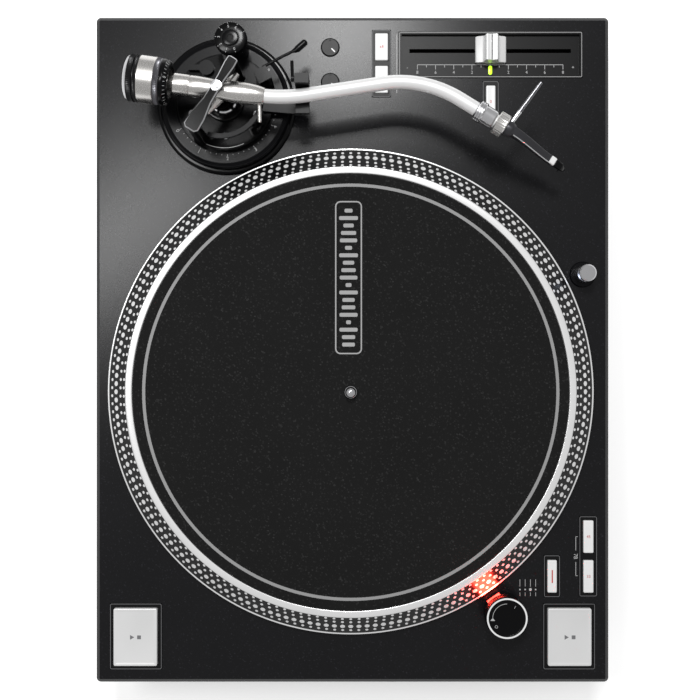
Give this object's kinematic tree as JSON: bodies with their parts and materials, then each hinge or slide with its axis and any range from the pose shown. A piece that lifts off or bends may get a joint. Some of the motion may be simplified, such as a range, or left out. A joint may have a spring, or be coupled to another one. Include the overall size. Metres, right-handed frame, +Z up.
{
  "type": "turntable record player",
  "caption": "Direct-drive record turntable: black plinth on screw feet, polished platter with felt mat, S-shaped tonearm with counterweight, pitch fader and push buttons.",
  "frame": {"origin": "middle of the surface that the feet stand on, below the middle of the plinth", "axes": "+Z up, +X to the tonearm and pitch fader end, +Y to the rear with the connections"},
  "size_m": [0.458, 0.353, 0.149],
  "materials": {
    "black_textured_paint": "die-cast aluminium with fine-textured black paint",
    "black_rubber_base": "moulded rubber compound, matt",
    "black_moulded_plastic": "moulded, fine texture",
    "satin_silver_plastic": "silver-painted moulding, satin",
    "machined_aluminium": "turned and diamond-cut, clear anodised",
    "satin_aluminium_tube": "satin silver lacquer",
    "polished_chrome": "polished plate",
    "black_metal": "black anodised, satin",
    "black_felt": "pressed wool felt with a printed ring",
    "foot_rubber": "soft moulded rubber",
    "bright_steel": "turned steel",
    "bearing_brass": "turned brass",
    "copper_winding": "enamelled copper wire on plastic bobbins",
    "ferrite_magnet": "sintered, dark grey",
    "circuit_board": "glass-fibre laminate with parts",
    "red_lens": "clear red moulding",
    "plated_contacts": "nickel plated"
  },
  "bodies": {
    "root": {"top_plinth": "black_textured_paint", "base_tray": "black_rubber_base", "base_screws": "bright_steel", "motor_stator": "copper_winding", "spindle_bearing": "bearing_brass", "main_circuit_board": "circuit_board", "power_supply": "bright_steel", "mains_inlet": "black_moulded_plastic", "signal_terminal": "plated_contacts", "start_stop_bezels": "black_moulded_plastic", "speed_button_bezel": "black_moulded_plastic", "single_button_bezels": "black_moulded_plastic", "pitch_range_bezel": "black_moulded_plastic", "pitch_fader_panel": "black_moulded_plastic", "pitch_fader_track": "black_moulded_plastic", "strobe_pillar": "black_metal", "strobe_window": "red_lens", "target_light_sleeve": "black_metal", "arm_escutcheon": "black_metal", "control_boards": "circuit_board"},
    "platter": {"platter": "machined_aluminium", "spindle": "bright_steel", "rotor_magnet": "ferrite_magnet"},
    "slipmat": {"slipmat": "black_felt"},
    "arm_base": {"arm_base": "black_metal", "arm_rest": "black_moulded_plastic", "gimbal_yoke": "black_metal"},
    "arm": {"arm_carrier": "satin_aluminium_tube", "arm_tube": "satin_aluminium_tube", "cartridge_body": "black_moulded_plastic", "stylus": "satin_silver_plastic", "finger_lift": "bright_steel"},
    "start_stop_button_front": {"start_stop_button_front": "satin_silver_plastic"},
    "start_stop_button_rear": {"start_stop_button_rear": "satin_silver_plastic"},
    "speed_button_33": {"speed_button_33": "satin_silver_plastic"},
    "speed_button_45": {"speed_button_45": "satin_silver_plastic"},
    "reverse_button": {"reverse_button": "satin_silver_plastic"},
    "pitch_range_button_8": {"pitch_range_button_8": "satin_silver_plastic"},
    "pitch_range_button_16": {"pitch_range_button_16": "satin_silver_plastic"},
    "reset_button": {"reset_button": "satin_silver_plastic"},
    "pitch_fader_cap": {"pitch_fader_cap": "satin_silver_plastic"},
    "power_knob": {"power_knob": "black_metal"},
    "target_light": {"target_light": "bright_steel"},
    "start_time_knob": {"start_time_knob": "black_moulded_plastic"},
    "stop_time_knob": {"stop_time_knob": "black_moulded_plastic"},
    "height_ring": {"height_ring": "black_metal"},
    "height_lock_lever": {"height_lock_lever": "black_metal"},
    "antiskate_dial": {"antiskate_dial": "black_metal"},
    "cue_lever": {"cue_lever": "black_moulded_plastic"},
    "lift_bar": {"lift_bar": "black_metal"},
    "arm_rest_clip": {"arm_rest_clip": "black_moulded_plastic"},
    "inner_gimbal": {"inner_gimbal": "polished_chrome"},
    "locking_collar": {"locking_collar": "polished_chrome"},
    "counterweight_sleeve": {"counterweight_sleeve": "black_moulded_plastic"},
    "counterweight": {"counterweight": "polished_chrome"},
    "force_dial": {"force_dial": "black_moulded_plastic"},
    "foot_front_left": {"foot_front_left": "foot_rubber"},
    "foot_front_right": {"foot_front_right": "foot_rubber"},
    "foot_rear_left": {"foot_rear_left": "foot_rubber"},
    "foot_rear_right": {"foot_rear_right": "foot_rubber"}
  },
  "joints": [
    {"name": "platter_spin", "type": "hinge", "parent": "root", "child": "platter", "pos_m": [-0.0285, 0.0012, 0.096], "axis": [0, 0, -1], "continuous": true},
    {"name": "slipmat_slip", "type": "hinge", "parent": "platter", "child": "slipmat", "pos_m": [-0.0285, 0.0012, 0.102], "axis": [0, 0, -1], "continuous": true},
    {"name": "start_stop_button_front_press", "type": "slide", "parent": "root", "child": "start_stop_button_front", "axis": [0, 0, -1], "range_m": [0, 0.0009], "stiffness_N_per_m": 500, "springref_m": -0.002},
    {"name": "start_stop_button_rear_press", "type": "slide", "parent": "root", "child": "start_stop_button_rear", "axis": [0, 0, -1], "range_m": [0, 0.0009], "stiffness_N_per_m": 500, "springref_m": -0.002},
    {"name": "speed_button_33_press", "type": "slide", "parent": "root", "child": "speed_button_33", "axis": [0, 0, -1], "range_m": [0, 0.0008], "stiffness_N_per_m": 300, "springref_m": -0.001},
    {"name": "speed_button_45_press", "type": "slide", "parent": "root", "child": "speed_button_45", "axis": [0, 0, -1], "range_m": [0, 0.0008], "stiffness_N_per_m": 300, "springref_m": -0.001},
    {"name": "reverse_button_press", "type": "slide", "parent": "root", "child": "reverse_button", "axis": [0, 0, -1], "range_m": [0, 0.0008], "stiffness_N_per_m": 300, "springref_m": -0.001},
    {"name": "pitch_range_button_8_press", "type": "slide", "parent": "root", "child": "pitch_range_button_8", "axis": [0, 0, -1], "range_m": [0, 0.0008], "stiffness_N_per_m": 300, "springref_m": -0.001},
    {"name": "pitch_range_button_16_press", "type": "slide", "parent": "root", "child": "pitch_range_button_16", "axis": [0, 0, -1], "range_m": [0, 0.0008], "stiffness_N_per_m": 300, "springref_m": -0.001},
    {"name": "reset_button_press", "type": "slide", "parent": "root", "child": "reset_button", "axis": [0, 0, -1], "range_m": [0, 0.0008], "stiffness_N_per_m": 300, "springref_m": -0.001},
    {"name": "pitch_fader_slide", "type": "slide", "parent": "root", "child": "pitch_fader_cap", "axis": [0, 1, 0], "range_m": [-0.05, 0.05]},
    {"name": "power_knob_turn", "type": "hinge", "parent": "root", "child": "power_knob", "pos_m": [-0.179, -0.103, 0.1], "axis": [0, 0, -1], "range_deg": [0, 40]},
    {"name": "target_light_press", "type": "slide", "parent": "root", "child": "target_light", "axis": [0, 0, -1], "range_m": [0, 0.012], "stiffness_N_per_m": 60, "springref_m": -0.02},
    {"name": "start_time_turn", "type": "hinge", "parent": "root", "child": "start_time_knob", "pos_m": [0.2078, 0.0153, 0.088], "axis": [0, 0, 1], "range_deg": [-140, 140]},
    {"name": "stop_time_turn", "type": "hinge", "parent": "root", "child": "stop_time_knob", "pos_m": [0.1839, 0.0153, 0.088], "axis": [0, 0, 1], "range_deg": [-140, 140]},
    {"name": "height_ring_turn", "type": "hinge", "parent": "root", "child": "height_ring", "pos_m": [0.167, 0.0863, 0.094], "axis": [0, 0, 1], "range_deg": [0, 300]},
    {"name": "arm_height_slide", "type": "slide", "parent": "root", "child": "arm_base", "axis": [0, 0, 1], "range_m": [0, 0.006]},
    {"name": "height_lock_turn", "type": "hinge", "parent": "arm_base", "child": "height_lock_lever", "pos_m": [0.1893, 0.098, 0.104], "axis": [0, 0, 1], "range_deg": [0, 45]},
    {"name": "antiskate_turn", "type": "hinge", "parent": "arm_base", "child": "antiskate_dial", "pos_m": [0.2032, 0.0797, 0.12], "axis": [0, 0, 1], "range_deg": [0, 280]},
    {"name": "cue_lever_turn", "type": "hinge", "parent": "arm_base", "child": "cue_lever", "pos_m": [0.1802, 0.059, 0.118], "axis": [-0.8942, -0.4478, 0], "range_deg": [0, 35]},
    {"name": "lift_bar_slide", "type": "slide", "parent": "arm_base", "child": "lift_bar", "axis": [0, 0, 1], "range_m": [0, 0.003]},
    {"name": "rest_clip_turn", "type": "hinge", "parent": "arm_base", "child": "arm_rest_clip", "pos_m": [0.17239, 0.0325, 0.141], "axis": [0, -1, 0], "range_deg": [0, 142]},
    {"name": "arm_swing", "type": "hinge", "parent": "arm_base", "child": "inner_gimbal", "pos_m": [0.167, 0.0863, 0.134], "axis": [0, 0, -1], "range_deg": [0, 43]},
    {"name": "arm_tilt", "type": "hinge", "parent": "inner_gimbal", "child": "arm", "pos_m": [0.167, 0.0863, 0.134], "axis": [-0.9903, 0.1392, 0], "range_deg": [0, 12]},
    {"name": "locking_collar_turn", "type": "hinge", "parent": "arm", "child": "locking_collar", "pos_m": [0.14486, -0.09517, 0.134], "axis": [-0.521, -0.8536, 0], "range_deg": [0, 25]},
    {"name": "counterweight_advance", "type": "slide", "parent": "arm", "child": "counterweight_sleeve", "axis": [-0.1392, -0.9903, 0], "range_m": [-0.003, 0.003]},
    {"name": "counterweight_turn", "type": "hinge", "parent": "counterweight_sleeve", "child": "counterweight", "pos_m": [0.17326, 0.13086, 0.134], "axis": [-0.1392, -0.9903, 0], "range_deg": [-360, 360]},
    {"name": "force_dial_turn", "type": "hinge", "parent": "counterweight", "child": "force_dial", "pos_m": [0.17159, 0.11898, 0.134], "axis": [-0.1392, -0.9903, 0], "continuous": true},
    {"name": "foot_front_left_screw", "type": "slide", "parent": "root", "child": "foot_front_left", "axis": [0, 0, -1], "range_m": [0, 0.005]},
    {"name": "foot_front_right_screw", "type": "slide", "parent": "root", "child": "foot_front_right", "axis": [0, 0, -1], "range_m": [0, 0.005]},
    {"name": "foot_rear_left_screw", "type": "slide", "parent": "root", "child": "foot_rear_left", "axis": [0, 0, -1], "range_m": [0, 0.005]},
    {"name": "foot_rear_right_screw", "type": "slide", "parent": "root", "child": "foot_rear_right", "axis": [0, 0, -1], "range_m": [0, 0.005]}
  ],
  "couplings": [
    {"joint": "height_ring_turn", "follows": "arm_height_slide", "rad_per_m": 872.6},
    {"joint": "lift_bar_slide", "follows": "cue_lever_turn", "m_per_rad": 0.0049},
    {"joint": "counterweight_advance", "follows": "counterweight_turn", "m_per_rad": 0.000475}
  ]
}
